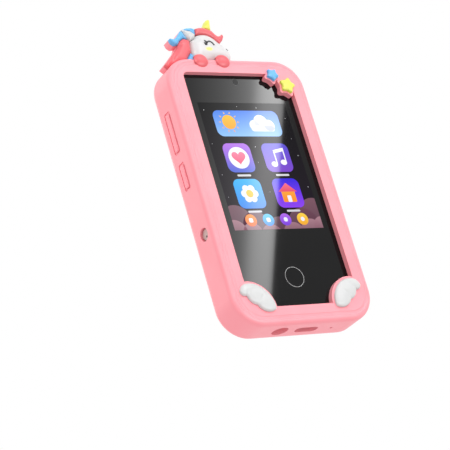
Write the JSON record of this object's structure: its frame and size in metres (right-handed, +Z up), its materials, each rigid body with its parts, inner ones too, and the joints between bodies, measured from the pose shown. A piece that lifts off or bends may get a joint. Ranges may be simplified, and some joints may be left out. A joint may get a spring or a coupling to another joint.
{
  "type": "toy cell phone",
  "caption": "Toy touchscreen phone in a soft pink unicorn case with a raised head on top, wings and stars round the screen, side keys and a rear camera window.",
  "frame": {"origin": "centre of the case's flat bottom face, half way across its width and its depth; the USB opening passes through that point", "axes": "+X to the right as seen by someone who looks at the screen, +Y from the screen to the back, +Z up along the phone's length"},
  "size_m": [0.0672, 0.0177, 0.1403],
  "materials": {
    "pink_silicone": "soft matte, moulded",
    "white_silicone": "soft satin, moulded",
    "coral_silicone": "soft satin, moulded",
    "blue_silicone": "soft satin, moulded",
    "yellow_silicone": "soft satin, moulded",
    "teal_silicone": "soft satin, moulded",
    "rose_silicone": "soft satin, moulded",
    "grey_trim": "satin",
    "black_glass": "polished, blackened behind",
    "dark_acrylic": "polished",
    "lens_glass": "polished",
    "display": "glossy",
    "backlight": "white",
    "shell_plastic": "moulded",
    "board": "solder mask",
    "chip": "moulded",
    "steel": "plain",
    "shield": "tinned",
    "battery": "laminated pouch",
    "connector": "moulded",
    "flex": "polyimide",
    "foam": "foam",
    "led": "phosphor"
  },
  "bodies": {
    "root": {"battery": "battery", "battery_connector": "connector", "blue_star": "blue_silicone", "camera_cover": "dark_acrylic", "camera_lens": "lens_glass", "camera_ring": "grey_trim", "card_slot": "chip", "cover_glass": "black_glass", "display_backlight": "backlight", "display_flex": "flex", "display_panel": "display", "flash_led": "led", "front_camera": "chip", "headphone_jack": "chip", "housing_screws": "steel", "left_wing": "white_silicone", "loudspeaker": "chip", "main_board": "board", "microphone": "steel", "mid_frame": "shell_plastic", "processor_chips": "chip", "rear_camera": "chip", "rear_housing": "shell_plastic", "relief_body": "white_silicone", "relief_hooves": "coral_silicone", "relief_horn": "rose_silicone", "relief_mane": "teal_silicone", "relief_stars": "yellow_silicone", "relief_tail": "teal_silicone", "right_wing": "white_silicone", "shield_can": "shield", "silicone_case": "pink_silicone", "speaker_gasket": "foam", "tactile_switches": "steel", "torch_led": "led", "torch_lens": "lens_glass", "unicorn_ear": "white_silicone", "unicorn_face": "white_silicone", "unicorn_forelock": "blue_silicone", "unicorn_fringe": "coral_silicone", "unicorn_head_back": "pink_silicone", "unicorn_hooves": "coral_silicone", "unicorn_horn": "yellow_silicone", "unicorn_mane": "coral_silicone", "unicorn_neck_tuft": "blue_silicone", "usb_port": "steel", "yellow_star": "yellow_silicone"},
    "volume": {"volume_key": "shell_plastic", "volume_pad": "pink_silicone"},
    "power": {"power_key": "shell_plastic", "power_pad": "pink_silicone"}
  },
  "joints": [
    {"name": "volume_rocker", "type": "hinge", "parent": "root", "child": "volume", "pos_m": [-0.0302, 0.0006, 0.0879], "axis": [0, 1, 0], "range_deg": [-2, 2], "stiffness_Nm_per_rad": 0.3},
    {"name": "power_press", "type": "slide", "parent": "root", "child": "power", "axis": [1, 0, 0], "range_m": [0, 0.00035], "stiffness_N_per_m": 4000}
  ]
}
